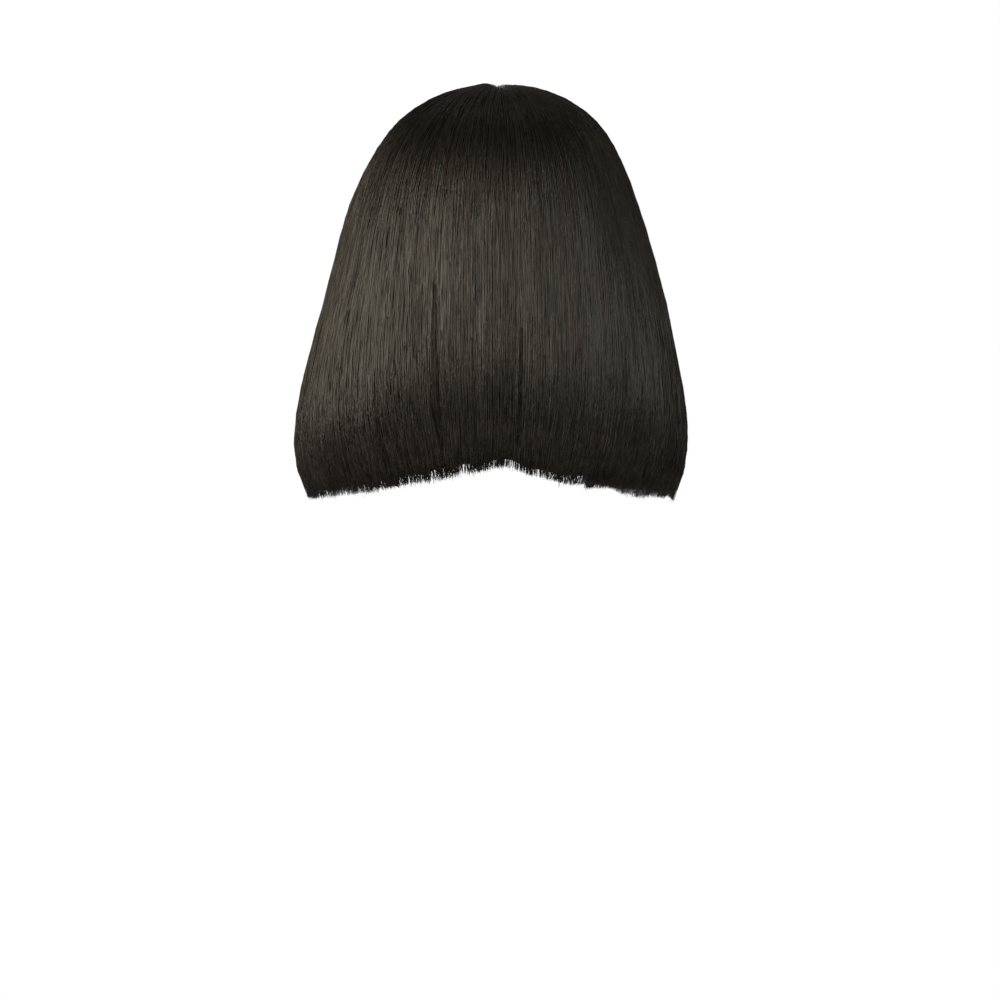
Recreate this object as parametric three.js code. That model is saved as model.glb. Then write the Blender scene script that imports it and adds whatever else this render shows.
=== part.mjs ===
// A shoulder-length bob wig: a plain net cap with a parting strip, and straight hair in falls and under-wefts.
// Millimetres, +Z up. The face looks along -Y and +X is the wearer's left.
// The origin is the point inside the cap where the crown of the head sits.
import * as THREE from "three";
import { mergeVertices } from "three/addons/utils/BufferGeometryUtils.js";

// Driving dimensions
const wigHeight = 289; // top of the hair to the lowest tips
const wigWidth = 276; // at the widest, just above the hem
const hairDepth = 235; // of the whole outline, whose front the face opening cuts off
const crownRise = 17; // top of the hair above the seat
const hairSetback = 11.5; // middle of the hair behind the seat
const sectionPower = 2.2; // 2 is an ellipse, and more is squarer

// The cap, shaped on a head
const headHalfWidth = 75;
const headHalfLength = 97;
const headDome = 105; // seat to the widest level of the head
const capWall = 1.5;
const hairClearance = 0.7; // hair to cap: flat facets on a curve need more than a bare gap

// The parting, a little to the wearer's right of the middle
const partingOffset = -5;
const partingFront = -79; // where the parting meets the hairline
const crownPoint = 20; // where the parting ends and the back hair spreads out
const stripWidth = 6;
const stripThickness = 0.9;
const pieceGap = 0.4;
const partingDip = 6.5; // how far the hair sinks towards the parting
const partingDipWidth = 17;
const crownDip = 0.6; // what is left of that dip at the crown point
const crownDipShare = 0.4; // of a side fall, over which the dip fades towards the crown point

// The hair
const fallThickness = 14;
const frontEdgeThickness = 9;
const frontEdgeShare = 0.22; // of a side fall, over which it thins towards its front edge
const frontEdgeRounding = 2.7; // how far the outside turns in at that edge
const frontEdgeFrom = 0.15; // share of the way down where the rounding is whole
const weftThickness = 13;
const weftGap = 2;
const weftTop = -78; // the falls begin to leave the cap here, and make room for the under-wefts
const weftRoot = -92; // top edge of the under-wefts
const weftFull = -118; // the under-wefts have their whole thickness from here down
const weftShorter = 8;
const weftFront = -25; // the under-wefts start behind the temples
const frontSweep = 8.5; // degrees that the front locks lean forward of straight sideways
const tipTaper = 0.4; // share of the thickness lost at the tips
const tipTaperFrom = 0.862; // share of the way down where the tips begin to thin
const hemBevel = 4; // the inner edge of the hem ends this much higher
const hemArch = 10; // the back of the hem is higher than the sides
const napeNotch = 10; // and its middle higher again
const napeNotchPower = 12; // a higher power makes the notch narrower
const tipStagger = 1.6; // locks end this much above or below the line of the hem
const tipWaves = [11, 19]; // rises and falls of the tips, in a whole turn round the head

// Outline of the hair, from the crown to the hem. drop is a share of the height there, half and lean are shares
// of half the width, and back and front are shares of half the depth.
const outline = [
  { drop: 0.0, half: 0.0, back: 0.0, front: 0.0, lean: -0.046 },
  { drop: 0.024, half: 0.279, back: 0.336, front: 0.336, lean: -0.044 },
  { drop: 0.087, half: 0.49, back: 0.596, front: 0.596, lean: -0.036 },
  { drop: 0.196, half: 0.645, back: 0.804, front: 0.804, lean: -0.023 },
  { drop: 0.281, half: 0.718, back: 0.877, front: 0.877, lean: -0.02 },
  { drop: 0.378, half: 0.782, back: 0.919, front: 0.919, lean: -0.02 },
  { drop: 0.475, half: 0.838, back: 0.94, front: 0.94, lean: -0.022 },
  { drop: 0.669, half: 0.933, back: 0.962, front: 0.97, lean: -0.013 },
  { drop: 0.77, half: 0.976, back: 0.946, front: 0.988, lean: -0.006 },
  { drop: 0.862, half: 1.0, back: 0.904, front: 1.0, lean: 0.0 },
  { drop: 0.911, half: 0.992, back: 0.87, front: 1.0, lean: 0.0 },
  { drop: 0.947, half: 0.98, back: 0.84, front: 0.995, lean: 0.0 },
  { drop: 1.0, half: 0.924, back: 0.79, front: 0.985, lean: 0.0 },
];

// Edge of the cap. turn is in degrees from the face to the back, and drop is how far below the seat the edge is,
// as a share of headDome.
const capEdge = [
  { turn: 0, drop: 0.457 }, // hairline
  { turn: 32, drop: 0.6 },
  { turn: 52, drop: 0.8 }, // temple
  { turn: 70, drop: 1.12 }, // tab in front of the ear
  { turn: 82, drop: 1.04 },
  { turn: 98, drop: 0.88 }, // over the ear
  { turn: 115, drop: 1.08 },
  { turn: 135, drop: 1.42 }, // behind the ear
  { turn: 180, drop: 1.52 }, // nape
];

// Clefts between the locks. at is how far across the piece it is, from the right or the front edge, deep is in
// millimetres, wide is a share of the piece, and from is the share of the way down where the cleft opens.
const backClefts = [
  { at: 0.07, deep: 1.6, wide: 0.02, from: 0.5 },
  { at: 0.17, deep: 2.2, wide: 0.022, from: 0.35 },
  { at: 0.31, deep: 2.0, wide: 0.02, from: 0.45 },
  { at: 0.46, deep: 2.8, wide: 0.018, from: 0.4 },
  { at: 0.55, deep: 1.6, wide: 0.02, from: 0.6 },
  { at: 0.645, deep: 3.4, wide: 0.018, from: 0.38 },
  { at: 0.79, deep: 2.0, wide: 0.022, from: 0.4 },
  { at: 0.92, deep: 2.2, wide: 0.022, from: 0.5 },
];
const sideClefts = [
  { at: 0.2, deep: 2.4, wide: 0.06, from: 0.3 },
  { at: 0.47, deep: 2.8, wide: 0.06, from: 0.4 },
  { at: 0.74, deep: 2.0, wide: 0.06, from: 0.35 },
];
const cleftFade = 0.25; // share of the way down, above and below its start, over which a cleft opens

// Mesh steps
const fallRows = 22;
const weftRows = 9;
const backColumns = 44;
const sideColumns = 17;
const weftBackColumns = 22;
const weftSideColumns = 6;
const capColumns = 48;
const capRows = 10;
const stripSteps = 14;
const traceSteps = 70; // points traced along a lock before it is stepped evenly

const bisections = 34; // halvings when a surface is looked for along a line
const tiny = 1e-6;
const samePoint = 1e-3; // points nearer than this become one

const halfWidth = wigWidth / 2;
const halfDepth = hairDepth / 2;
const degrees = Math.PI / 180;

function smoothStep(from, to, value) {
  return THREE.MathUtils.smoothstep(value, from, to);
}

// A smooth curve through one column of a table, with free ends or level ones.
function tableCurve(rows, place, value, ending = THREE.ZeroCurvatureEnding) {
  const places = rows.map(place);
  const curve = new THREE.CubicInterpolant(places, rows.map(value), 1);
  curve.settings = { endingStart: ending, endingEnd: ending };
  return (at) => curve.evaluate(THREE.MathUtils.clamp(at, places[0], places.at(-1)))[0];
}

// Near the crown a squared width grows evenly with the drop, so the squares are what is interpolated.
const halfSquared = tableCurve(outline, (row) => row.drop, (row) => row.half ** 2);
const backSquared = tableCurve(outline, (row) => row.drop, (row) => row.back ** 2);
const frontSquared = tableCurve(outline, (row) => row.drop, (row) => row.front ** 2);
const leanAt = tableCurve(outline, (row) => row.drop, (row) => row.lean);
const capEdgeAt = tableCurve(capEdge, (row) => row.turn, (row) => row.drop, THREE.ZeroSlopeEnding);

// Drop of the hem below the top of the hair, in the direction of a point seen from above.
function hemDrop(x, y) {
  const back = Math.max(0, (y - hairSetback) / Math.hypot(x, y - hairSetback, tiny));
  const turn = Math.atan2(x, hairSetback - y);
  const stagger = tipWaves.reduce((sum, waves) => sum + Math.sin(waves * turn), 0);
  return wigHeight - hemArch * back - napeNotch * back ** napeNotchPower + (tipStagger / 2) * stagger;
}

// Less than 1 inside the outline of the hair, 1 on it and more outside it.
function hairMeasure(x, y, z) {
  const share = (crownRise - z) / hemDrop(x, y);
  const deepSquared = y > hairSetback ? backSquared(share) : frontSquared(share);
  const half = halfWidth * Math.sqrt(Math.max(halfSquared(share), tiny));
  const deep = halfDepth * Math.sqrt(Math.max(deepSquared, tiny));
  const across = Math.abs(x - halfWidth * leanAt(share)) / half;
  const along = Math.abs(y - hairSetback) / deep;
  return across ** sectionPower + along ** sectionPower;
}

// The same for the head grown by a margin, which is what lies under the hair.
function headMeasure(x, y, z, margin) {
  return (
    (x / (headHalfWidth + margin)) ** 2 +
    (y / (headHalfLength + margin)) ** 2 +
    ((z + headDome) / (headDome + margin)) ** 2
  );
}

// Where a measure that grows along a lock's own direction reaches 1: the distance from the lock's root.
function reach(lock, z, measure) {
  const at = (r) => measure(lock.x + lock.dx * r, lock.y + lock.dy * r, z);
  let near = 0;
  let far = wigWidth;
  if (at(near) >= 1) return 0;
  for (let i = 0; i < bisections; i++) {
    const middle = (near + far) / 2;
    if (at(middle) < 1) near = middle;
    else far = middle;
  }
  return near;
}

// Height at which a measure reaches 1 straight above a lock's root.
function rootHeight(lock, measure) {
  let low = -headDome;
  let high = crownRise;
  for (let i = 0; i < bisections; i++) {
    const middle = (low + high) / 2;
    if (measure(lock.x, lock.y, middle) < 1) low = middle;
    else high = middle;
  }
  return low;
}

const overCap = (x, y, z) => headMeasure(x, y, z, capWall + hairClearance);

// Distance from a lock's root to the outside of its fall, to the layer between the fall and the under-weft, and
// to the inside of the under-weft.
function outerReach(lock, z) {
  return reach(lock, z, hairMeasure);
}

function layerReach(lock, z) {
  const share = (crownRise - z) / lock.length;
  const taper = 1 - tipTaper * smoothStep(tipTaperFrom, 1, share);
  const outer = outerReach(lock, z);
  const cap = reach(lock, z, overCap);
  const free = Math.max(cap, outer - lock.thickness * taper);
  return THREE.MathUtils.lerp(cap, free, smoothStep(-weftTop, -weftFull, -z));
}

function weftInnerReach(lock, z) {
  return Math.max(reach(lock, z, overCap), layerReach(lock, z) - weftGap - weftThickness);
}

// Traces a lock's outline in its own upright plane from one height down to another. Each point holds the distance
// from the root and the height.
function trace(lock, from, to, distance) {
  const points = [];
  for (let i = 0; i <= traceSteps; i++) {
    const z = THREE.MathUtils.lerp(from, to, (i / traceSteps) ** 2);
    points.push(new THREE.Vector2(distance(lock, z), z));
  }
  return points;
}

// The same line with rows + 1 points at even steps.
function evenly(points, rows) {
  const path = new THREE.Path();
  path.moveTo(points[0].x, points[0].y);
  points.slice(1).forEach((point) => path.lineTo(point.x, point.y));
  return path.getSpacedPoints(rows);
}

// Pushes a line inwards, square to itself, by a depth that depends on the share of the way along it. Its first
// point sinks straight down, so that locks from one root still share it.
function sunk(points, depth) {
  const last = points.length - 1;
  return points.map((point, i) => {
    const along = new THREE.Vector2(1, 0);
    if (i > 0) along.subVectors(points[Math.min(i + 1, last)], points[i - 1]).normalize();
    return new THREE.Vector2(along.y, -along.x).multiplyScalar(depth(i / last)).add(point);
  });
}

// How deep the clefts between locks are at a place on a piece, and a share of the way down.
function cleftDepth(clefts, at, down) {
  return clefts.reduce((sum, cleft) => {
    const across = Math.exp(-(((at - cleft.at) / cleft.wide) ** 2));
    return sum + cleft.deep * across * smoothStep(cleft.from - cleftFade, cleft.from + cleftFade, down);
  }, 0);
}

// A closed skin over two grids of points, the outside and the inside of one piece of hair, column by column.
function skin(outside, inside) {
  const columns = outside.length;
  const rows = outside[0].length;
  const points = [...outside.flat(), ...inside.flat()];
  const faces = [];
  const out = (c, r) => c * rows + r;
  const inn = (c, r) => columns * rows + c * rows + r;
  const quad = (a, b, c, d) => faces.push(a, b, c, a, c, d);
  for (let c = 0; c + 1 < columns; c++) {
    for (let r = 0; r + 1 < rows; r++) {
      quad(out(c, r), out(c, r + 1), out(c + 1, r + 1), out(c + 1, r));
      quad(inn(c, r), inn(c + 1, r), inn(c + 1, r + 1), inn(c, r + 1));
    }
    quad(out(c, 0), out(c + 1, 0), inn(c + 1, 0), inn(c, 0));
    quad(out(c, rows - 1), inn(c, rows - 1), inn(c + 1, rows - 1), out(c + 1, rows - 1));
  }
  for (let r = 0; r + 1 < rows; r++) {
    quad(out(0, r), inn(0, r), inn(0, r + 1), out(0, r + 1));
    quad(out(columns - 1, r), out(columns - 1, r + 1), inn(columns - 1, r + 1), inn(columns - 1, r));
  }
  return closedGeometry(points, faces);
}

// Points that coincide become one, and the faces that this flattens are left out.
function closedGeometry(points, faces) {
  const loose = new THREE.BufferGeometry();
  const numbers = points.flatMap((point) => point.toArray());
  loose.setAttribute("position", new THREE.Float32BufferAttribute(numbers, 3));
  loose.setIndex(faces);
  const merged = mergeVertices(loose, samePoint);
  const index = merged.index.array;
  const kept = [];
  for (let i = 0; i < index.length; i += 3) {
    const [a, b, c] = index.slice(i, i + 3);
    if (a !== b && b !== c && a !== c) kept.push(a, b, c);
  }
  merged.setIndex(kept);
  merged.computeVertexNormals();
  return merged;
}

// A lock is one upright line of hair: where it is rooted, which way it falls, and how long and thick it is.
// side is 1 on the wearer's left and -1 on the right.
function sideLock(side, y, at) {
  const forward = THREE.MathUtils.clamp((crownPoint - y) / (crownPoint - partingFront), 0, 1);
  const sweep = frontSweep * degrees * forward;
  const edge = 1 - smoothStep(0, frontEdgeShare, at);
  return hungLock({
    x: partingOffset + side * (stripWidth / 2 + pieceGap),
    y,
    dx: side * Math.cos(sweep),
    dy: -Math.sin(sweep),
    thickness: THREE.MathUtils.lerp(fallThickness, frontEdgeThickness, edge),
    rounding: frontEdgeRounding * edge,
  });
}

function backLock(at) {
  const turn = (at - 0.5) * Math.PI;
  return hungLock({
    x: partingOffset,
    y: crownPoint + pieceGap / 2,
    dx: Math.sin(turn),
    dy: Math.cos(turn),
    thickness: fallThickness,
    rounding: 0,
  });
}

// A lock ends where the outline does, at the hem in its own direction.
function hungLock(lock) {
  const out = outerReach(lock, crownRise - wigHeight / 2);
  return { ...lock, length: hemDrop(lock.x + lock.dx * out, lock.y + lock.dy * out) };
}

function placed(lock, points) {
  return points.map((p) => new THREE.Vector3(lock.x + lock.dx * p.x, lock.y + lock.dy * p.x, p.y));
}

// One column of a fall, which lies on the cap and then hangs free.
function fallColumn(lock, at, clefts, dip) {
  const hem = crownRise - lock.length;
  const outer = evenly(trace(lock, rootHeight(lock, hairMeasure), hem, outerReach), fallRows);
  const inner = evenly(trace(lock, rootHeight(lock, overCap), hem + hemBevel, layerReach), fallRows);
  const shaped = sunk(outer, (down) => {
    const parting = dip * (1 - smoothStep(0, partingDipWidth, down * lock.length));
    const rounding = lock.rounding * smoothStep(0, frontEdgeFrom, down);
    return parting + rounding + cleftDepth(clefts, at, down);
  });
  return { outside: placed(lock, shaped), inside: placed(lock, inner) };
}

// One column of an under-weft, which is sewn to the cap along its top edge and hangs inside the fall.
function weftColumn(lock) {
  const hem = crownRise - lock.length + weftShorter;
  const outer = (l, z) => layerReach(l, z) - weftGap;
  return {
    outside: placed(lock, evenly(trace(lock, weftRoot, hem, outer), weftRows)),
    inside: placed(lock, evenly(trace(lock, weftRoot, hem + hemBevel, weftInnerReach), weftRows)),
  };
}

function skinOf(columns, turnRound) {
  const ordered = turnRound ? columns.toReversed() : columns;
  return skin(ordered.map((c) => c.outside), ordered.map((c) => c.inside));
}

function sharesOf(columns) {
  return Array.from({ length: columns + 1 }, (_, i) => i / columns);
}

function sideFall(side) {
  const columns = sharesOf(sideColumns).map((at) => {
    const y = THREE.MathUtils.lerp(partingFront, crownPoint - pieceGap / 2, at);
    const dip = THREE.MathUtils.lerp(partingDip, crownDip, smoothStep(1 - crownDipShare, 1, at));
    return fallColumn(sideLock(side, y, at), at, sideClefts, dip);
  });
  return skinOf(columns, side < 0);
}

function backFall() {
  const columns = sharesOf(backColumns).map((at) => fallColumn(backLock(at), at, backClefts, crownDip));
  return skinOf(columns, true);
}

function sideWeft(side) {
  const columns = sharesOf(weftSideColumns).map((at) => {
    const y = THREE.MathUtils.lerp(weftFront, crownPoint - pieceGap / 2, at);
    return weftColumn(sideLock(side, y, 1));
  });
  return skinOf(columns, side < 0);
}

function backWeft() {
  return skinOf(sharesOf(weftBackColumns).map((at) => weftColumn(backLock(at))), true);
}

// The cap is a dome of even thickness whose edge follows the hairline, the ears and the nape.
function capPoint(turn, share, margin) {
  const side = Math.abs(((turn + 180) % 360) - 180);
  const edge = Math.acos(1 - capEdgeAt(side));
  const down = edge * share;
  return new THREE.Vector3(
    (headHalfWidth + margin) * Math.sin(down) * Math.sin(turn * degrees),
    -(headHalfLength + margin) * Math.sin(down) * Math.cos(turn * degrees),
    -headDome + (headDome + margin) * Math.cos(down),
  );
}

function wigCap() {
  const turns = sharesOf(capColumns).map((at) => 360 * at);
  const shares = sharesOf(capRows);
  const dome = (margin) => turns.map((turn) => shares.map((share) => capPoint(turn, share, margin)));
  return skin(dome(capWall), dome(0));
}

// The strip follows the cap under the parting.
function partingStrip() {
  const surface = (across, y, margin) => {
    const x = partingOffset + across;
    const height = rootHeight({ x, y }, (px, py, pz) => headMeasure(px, py, pz, margin));
    return new THREE.Vector3(x, y, height);
  };
  const back = crownPoint - pieceGap;
  const rows = sharesOf(stripSteps).map((share) => THREE.MathUtils.lerp(partingFront, back, share));
  const low = capWall + pieceGap;
  const edges = [-1, 0, 1].map((edge) => (edge * stripWidth) / 2);
  const layer = (margin) => edges.map((across) => rows.map((y) => surface(across, y, margin)));
  return skin(layer(low + stripThickness).toReversed(), layer(low).toReversed());
}

const hairFinish = { color: 0x1c1815, roughness: 0.42, metalness: 0 };
const weftFinish = { color: 0x171310, roughness: 0.5, metalness: 0 };
const capFinish = { color: 0x141210, roughness: 0.85, metalness: 0 };
const scalpFinish = { color: 0xa07a5c, roughness: 0.7, metalness: 0 };

const wig = new THREE.Group();

function add(name, geometry, finish) {
  const mesh = new THREE.Mesh(geometry, new THREE.MeshStandardMaterial(finish));
  mesh.name = name;
  wig.add(mesh);
}

add("wig_cap", wigCap(), capFinish);
add("parting_strip", partingStrip(), scalpFinish);
add("back_fall", backFall(), hairFinish);
add("side_fall_left", sideFall(1), hairFinish);
add("side_fall_right", sideFall(-1), hairFinish);
add("under_weft_back", backWeft(), weftFinish);
add("under_weft_left", sideWeft(1), weftFinish);
add("under_weft_right", sideWeft(-1), weftFinish);

export default wig;
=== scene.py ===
"""A straight, dark, shoulder-length bob wig: single strands over dense hair, on a net cap."""

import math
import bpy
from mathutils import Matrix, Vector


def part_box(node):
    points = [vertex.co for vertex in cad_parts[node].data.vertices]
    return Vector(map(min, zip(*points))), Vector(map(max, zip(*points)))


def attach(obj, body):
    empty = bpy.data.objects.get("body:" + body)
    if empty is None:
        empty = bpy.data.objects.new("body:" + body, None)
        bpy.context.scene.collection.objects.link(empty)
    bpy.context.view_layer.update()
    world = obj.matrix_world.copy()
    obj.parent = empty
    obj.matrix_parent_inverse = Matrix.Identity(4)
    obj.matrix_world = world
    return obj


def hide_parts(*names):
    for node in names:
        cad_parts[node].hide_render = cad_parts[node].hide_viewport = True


bl_info = {
    "name": "Bob wig",
    "version": (1, 0, 0),
    "blender": (4, 5, 0),
    "location": "3D View > Sidebar > Bob wig",
    "description": "Dresses a straight bob wig with strands, a net cap and a parting",
    "category": "Object",
}

from dataclasses import dataclass

import bmesh
import bpy
import numpy as np
from bpy.props import FloatProperty, FloatVectorProperty, IntProperty, PointerProperty
from mathutils import Vector
from mathutils.bvhtree import BVHTree

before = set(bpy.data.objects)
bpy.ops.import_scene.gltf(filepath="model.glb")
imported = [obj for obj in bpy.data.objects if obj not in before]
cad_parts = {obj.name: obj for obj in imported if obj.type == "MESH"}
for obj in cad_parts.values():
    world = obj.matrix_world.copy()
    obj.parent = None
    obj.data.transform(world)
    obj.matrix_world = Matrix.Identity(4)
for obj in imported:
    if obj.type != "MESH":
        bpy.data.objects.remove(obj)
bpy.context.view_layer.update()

MM = 0.001
RAY = 0.6  # longer than the wig is wide
UP = np.array([0.0, 0.0, 1.0])
PIVOT_HEIGHT = -0.105  # the widest level of the head, which the locks are looked for from
CROWN_LEVEL = -0.05  # hair whose top is above this lies over the crown of the head
CROWN_ANGLES = np.radians(np.linspace(89.5, 0, 70))  # the ways from the pivot that such hair is looked for in
LEVEL_STEP = 1.6 * MM  # below the pivot, the hair is looked for at levels this far apart
LOWEST = -0.4  # below every hem
HALVINGS = 6  # tries that close in on the hem
FRONT_SWEEP = math.radians(8.5)  # how far the front locks lean towards the face
INSET = 0.4 * MM  # the first lock of a piece is looked for this far inside its edge
ROOT_INSET = 0.05 * MM  # the roots are looked for this far from the wall of the parting
INSIDE_AHEAD = 1.6 * MM  # and the inside of a lock this much further on, past the slope of that wall
BACK_FAN = math.pi - 0.012  # the locks of the back fan out over nearly half a turn
LOCK_STEPS = 90
TIP_STEPS = 5  # steps that the grids run on past the hem
ROOT_STEPS = 3.0  # the way out of the parting is read over this many steps
BELT = 0.65  # the girth is measured at this share of the way down
EDGE_LOOSE = 1.4 * MM  # strands may stray this far past a front edge
FALL_DEPTH = 13 * MM  # about how thick the falls are
FALL_LENGTH = 0.29  # about how long they are, below the roots that show
WEFT_LENGTH = 0.18
LEAST_DEPTH = 0.5 * MM  # the hair counts as at least this thick
MAP_NAME = "OFBake"
MAP_BREADTH = 1 / 700  # width of one strand on the map


# Properties


class WigSizes(bpy.types.PropertyGroup):
    """Sizes of the hair."""

    strand_width: FloatProperty(
        name="Strand width", description="Width of one strand", default=0.74 * MM, min=0.2 * MM, max=3 * MM,
        precision=5, unit="LENGTH",
    )
    strand_relief: FloatProperty(
        name="Strand relief", description="Height of a strand as a share of its width", default=0.42, min=0.1,
        max=1, subtype="FACTOR",
    )
    outer_depth: FloatProperty(
        name="Outer depth", description="Depth of the layer that the outer strands fill", default=1.3 * MM,
        min=0.5 * MM, max=6 * MM, precision=5, unit="LENGTH",
    )
    under_sink: FloatProperty(
        name="Under-layer sink", description="How far the dense under-layer lies below the outside",
        default=1.6 * MM, min=0.5 * MM, max=6 * MM, precision=5, unit="LENGTH",
    )
    crimp: FloatProperty(
        name="Crimp", description="Sideways waver of a strand", default=0.3 * MM, min=0, max=2 * MM,
        precision=5, unit="LENGTH",
    )
    ragged: FloatProperty(
        name="Ragged tips", description="How unevenly long the strands are", default=2.1 * MM, min=0,
        max=15 * MM, precision=5, unit="LENGTH",
    )
    lock_width: FloatProperty(
        name="Lock width", description="Mean width of a lock of strands", default=11 * MM, min=3 * MM,
        max=40 * MM, precision=4, unit="LENGTH",
    )
    back_strands: IntProperty(
        name="Back strands", description="Strands of each of the two layers of the back", default=1700,
        min=100, max=1720,
    )
    side_strands: IntProperty(
        name="Side strands", description="Strands of each side's outer layer", default=1180, min=100,
        max=1720,
    )
    inner_strands: IntProperty(
        name="Inner strands", description="Strands of the under-wefts", default=1200, min=100, max=3000,
    )
    hem_strands: IntProperty(
        name="Hem strands", description="Short strands that fill the hem", default=1700, min=100, max=3000,
    )


class WigColours(bpy.types.PropertyGroup):
    """Colours of the hair, the cap and the parting."""

    hair_dark: FloatVectorProperty(
        name="Hair, dark", description="Darkest strands", subtype="COLOR", size=3, min=0, max=1,
        default=(0.0075, 0.0062, 0.0045),
    )
    hair_light: FloatVectorProperty(
        name="Hair, light", description="Lightest strands", subtype="COLOR", size=3, min=0, max=1,
        default=(0.047, 0.0405, 0.029),
    )
    hair_warm: FloatVectorProperty(
        name="Hair, warm", description="The few reddish brown strands", subtype="COLOR", size=3, min=0,
        max=1, default=(0.052, 0.032, 0.0225),
    )
    hair_cool: FloatVectorProperty(
        name="Hair, cool", description="The few greenish grey strands", subtype="COLOR", size=3, min=0,
        max=1, default=(0.034, 0.038, 0.034),
    )
    worn_ends: FloatVectorProperty(
        name="Hair, worn", description="Lighter tips of the strands", subtype="COLOR", size=3, min=0, max=1,
        default=(0.046, 0.033, 0.024),
    )
    net: FloatVectorProperty(
        name="Net", description="Threads of the cap", subtype="COLOR", size=3, min=0, max=1,
        default=(0.036, 0.032, 0.028),
    )
    scalp: FloatVectorProperty(
        name="Parting", description="Skin-toned strip of the parting", subtype="COLOR", size=3, min=0, max=1,
        default=(0.33, 0.19, 0.12),
    )


class WigStage(bpy.types.PropertyGroup):
    """The camera, the floor and the light."""

    lens: FloatProperty(
        name="Lens", description="Focal length", default=135, min=35, max=300, unit="CAMERA",
    )
    view_width: FloatProperty(
        name="View width", description="Width of the picture at the middle of the hair", default=0.7,
        min=0.2, max=3, unit="LENGTH",
    )
    view_height: FloatProperty(
        name="View height", description="Height of the camera above the seat of the crown", default=-0.274,
        min=-2, max=2, unit="LENGTH",
    )
    view_aside: FloatProperty(
        name="View aside", description="Distance of the camera to the wearer's left", default=-0.00665,
        min=-1, max=1, unit="LENGTH",
    )
    floor_height: FloatProperty(
        name="Floor height", description="Height of the floor above the seat of the crown", default=-0.8,
        min=-3, max=-0.3, unit="LENGTH",
    )
    key_power: FloatProperty(
        name="Key light", description="Power of the key light", default=90, min=0, max=2000, unit="POWER",
    )
    fill_power: FloatProperty(
        name="Fill light", description="Power of the fill light", default=13, min=0, max=2000, unit="POWER",
    )
    top_power: FloatProperty(
        name="Top light", description="Power of the top light", default=1.1, min=0, max=2000, unit="POWER",
    )
    front_power: FloatProperty(
        name="Front light", description="Power of the front light", default=14, min=0, max=2000, unit="POWER",
    )
    air_light: FloatProperty(
        name="Air light", description="Strength of the light all round", default=0.13, min=0, max=5,
        subtype="FACTOR",
    )


# Where the hair lies


def ray_tree(node):
    """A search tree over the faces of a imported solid."""
    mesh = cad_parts[node].data
    corners = [vertex.co for vertex in mesh.vertices]
    return BVHTree.FromPolygons(corners, [tuple(face.vertices) for face in mesh.polygons])


def first_hit(tree, start, way):
    place, _, _, _ = tree.ray_cast(Vector(start), Vector(way), RAY)
    return None if place is None else np.array(place)


def lock_outline(tree, root, way, outside, top):
    """Points down the outside or the inside of a lock, in the upright plane that it falls in."""
    ahead = np.array([way[0], way[1], 0.0])

    def hit(base, toward):
        if outside:
            return first_hit(tree, base + toward * RAY / 2, -toward)
        return first_hit(tree, base, toward)

    def hit_level(height):
        return hit(np.array([root[0], root[1], height]), ahead)

    points = []
    height = top
    if top > CROWN_LEVEL:
        pivot = np.array([root[0], root[1], PIVOT_HEIGHT])
        for angle in CROWN_ANGLES:
            points.append(hit(pivot, ahead * math.cos(angle) + UP * math.sin(angle)))
        height = PIVOT_HEIGHT
    last = None
    while height > LOWEST:
        found = hit_level(height)
        if found is None and last is not None:
            break
        if found is not None:
            points.append(found)
            last = height
        height -= LEVEL_STEP
    low = height
    for _ in range(HALVINGS):
        middle = (last + low) / 2
        found = hit_level(middle)
        if found is None:
            low = middle
        else:
            last = middle
            points.append(found)
    return np.array([point for point in points if point is not None])


def evenly(points, steps):
    """The same line in even steps, and a few more of them past its end, which turn inwards."""
    lengths = np.concatenate([[0], np.cumsum(np.linalg.norm(np.diff(points, axis=0), axis=1))])
    wanted = np.linspace(0, lengths[-1], steps + 1)
    line = np.stack([np.interp(wanted, lengths, points[:, axis]) for axis in range(3)], axis=1)
    past = line[-1] - line[-4]
    return np.concatenate([line, line[-1] + past / 3 * np.arange(1, TIP_STEPS + 1)[:, None]])


def soften(grid, locks, steps):
    """Evens out a grid of points along both its ways, over about that many locks and steps."""
    for axis, spread in ((0, locks), (1, steps)):
        reach = int(math.ceil(spread * 2.5))
        weights = np.exp(-0.5 * (np.arange(-reach, reach + 1) / spread) ** 2)
        weights /= weights.sum()
        padding = [(0, 0)] * 3
        padding[axis] = (reach, reach)
        padded = np.pad(grid, padding, mode="reflect", reflect_type="odd")
        length = grid.shape[axis]
        grid = sum(
            weight * np.take(padded, np.arange(i, i + length), axis=axis) for i, weight in enumerate(weights)
        )
    return grid


def read(grid, lock, step):
    """Reads a grid between its points, and a little past its sides."""
    step = np.clip(step, 0, grid.shape[1] - 1.001)
    i, j = np.clip(lock, 0, grid.shape[0] - 1.001).astype(int), step.astype(int)
    a, b = (lock - i)[..., None], (step - j)[..., None]
    near = (1 - b) * grid[i, j] + b * grid[i, j + 1]
    far = (1 - b) * grid[i + 1, j] + b * grid[i + 1, j + 1]
    return (1 - a) * near + a * far


def unit(ways):
    """The same ways, each of length 1."""
    return ways / np.maximum(np.linalg.norm(ways, axis=-1, keepdims=True), 1e-9)


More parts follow.
